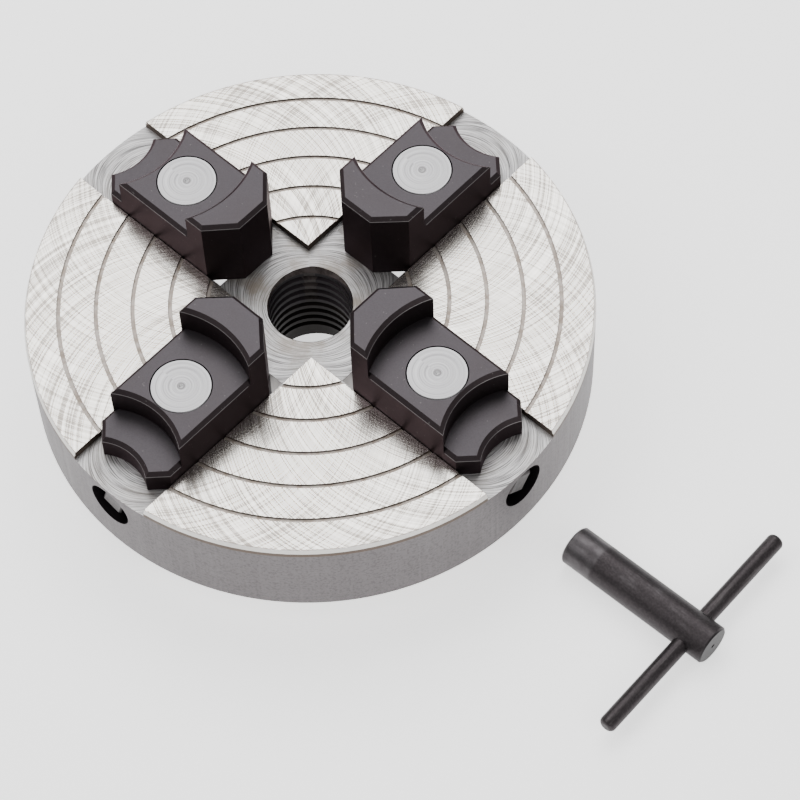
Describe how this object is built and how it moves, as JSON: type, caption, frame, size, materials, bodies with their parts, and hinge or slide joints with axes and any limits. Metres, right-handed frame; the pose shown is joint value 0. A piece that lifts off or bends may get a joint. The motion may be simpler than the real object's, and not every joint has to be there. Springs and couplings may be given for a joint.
{
  "type": "four-jaw lathe chuck",
  "caption": "Round four-jaw independent lathe chuck lying face up, with stepped reversible jaws on drive screws, a threaded hub, and a T-handled key beside it.",
  "frame": {"origin": "centre of the hub's back face, on the spindle axis", "axes": "+Z along the spindle axis from the hub to the jaws, +X and +Y along the jaw channels"},
  "size_m": [0.213, 0.1524, 0.058],
  "materials": {
    "ground_steel": "ground face, turned rim",
    "bright_steel": "turned bright",
    "black_oxide": "black oxide over ground steel",
    "key_oxide": "worn black oxide",
    "fastener_steel": "black oxide"
  },
  "bodies": {
    "chuck": {"chuck_body": "ground_steel", "thrust_yoke_a": "bright_steel", "thrust_yoke_b": "bright_steel", "thrust_yoke_c": "bright_steel", "thrust_yoke_d": "bright_steel", "yoke_screw_a": "fastener_steel", "yoke_screw_b": "fastener_steel", "yoke_screw_c": "fastener_steel", "yoke_screw_d": "fastener_steel"},
    "jaw_a_set": {"jaw_a": "black_oxide", "jaw_nut_a": "bright_steel", "jaw_screws_a": "fastener_steel"},
    "screw_a": {"drive_screw_a": "bright_steel"},
    "jaw_b_set": {"jaw_b": "black_oxide", "jaw_nut_b": "bright_steel", "jaw_screws_b": "fastener_steel"},
    "screw_b": {"drive_screw_b": "bright_steel"},
    "jaw_c_set": {"jaw_c": "black_oxide", "jaw_nut_c": "bright_steel", "jaw_screws_c": "fastener_steel"},
    "screw_c": {"drive_screw_c": "bright_steel"},
    "jaw_d_set": {"jaw_d": "black_oxide", "jaw_nut_d": "bright_steel", "jaw_screws_d": "fastener_steel"},
    "screw_d": {"drive_screw_d": "bright_steel"},
    "key": {"key_barrel": "key_oxide", "key_bar": "key_oxide"}
  },
  "joints": [
    {"name": "screw_a_turn", "type": "hinge", "parent": "chuck", "child": "screw_a", "pos_m": [0, 0, 0.0257], "axis": [1, 0, 0], "range_deg": [-2683, 1495]},
    {"name": "jaw_a_slide", "type": "slide", "parent": "chuck", "child": "jaw_a_set", "axis": [1, 0, 0], "range_m": [-0.0149, 0.0083]},
    {"name": "screw_b_turn", "type": "hinge", "parent": "chuck", "child": "screw_b", "pos_m": [0, 0, 0.0257], "axis": [0, 1, 0], "range_deg": [-2377, 1801]},
    {"name": "jaw_b_slide", "type": "slide", "parent": "chuck", "child": "jaw_b_set", "axis": [0, 1, 0], "range_m": [-0.0132, 0.01]},
    {"name": "screw_c_turn", "type": "hinge", "parent": "chuck", "child": "screw_c", "pos_m": [0, 0, 0.0257], "axis": [-1, 0, 0], "range_deg": [-2377, 1801]},
    {"name": "jaw_c_slide", "type": "slide", "parent": "chuck", "child": "jaw_c_set", "axis": [-1, 0, 0], "range_m": [-0.0132, 0.01]},
    {"name": "screw_d_turn", "type": "hinge", "parent": "chuck", "child": "screw_d", "pos_m": [0, 0, 0.0257], "axis": [0, -1, 0], "range_deg": [-2791, 1387]},
    {"name": "jaw_d_slide", "type": "slide", "parent": "chuck", "child": "jaw_d_set", "axis": [0, -1, 0], "range_m": [-0.0155, 0.0077]},
    {"name": "key_lift", "type": "slide", "parent": "chuck", "child": "key", "axis": [0, 0, 1], "range_m": [0, 0.08]}
  ],
  "couplings": [
    {"joint": "screw_a_turn", "follows": "jaw_a_slide", "rad_per_m": 3141.6},
    {"joint": "screw_b_turn", "follows": "jaw_b_slide", "rad_per_m": 3141.6},
    {"joint": "screw_c_turn", "follows": "jaw_c_slide", "rad_per_m": 3141.6},
    {"joint": "screw_d_turn", "follows": "jaw_d_slide", "rad_per_m": 3141.6}
  ]
}
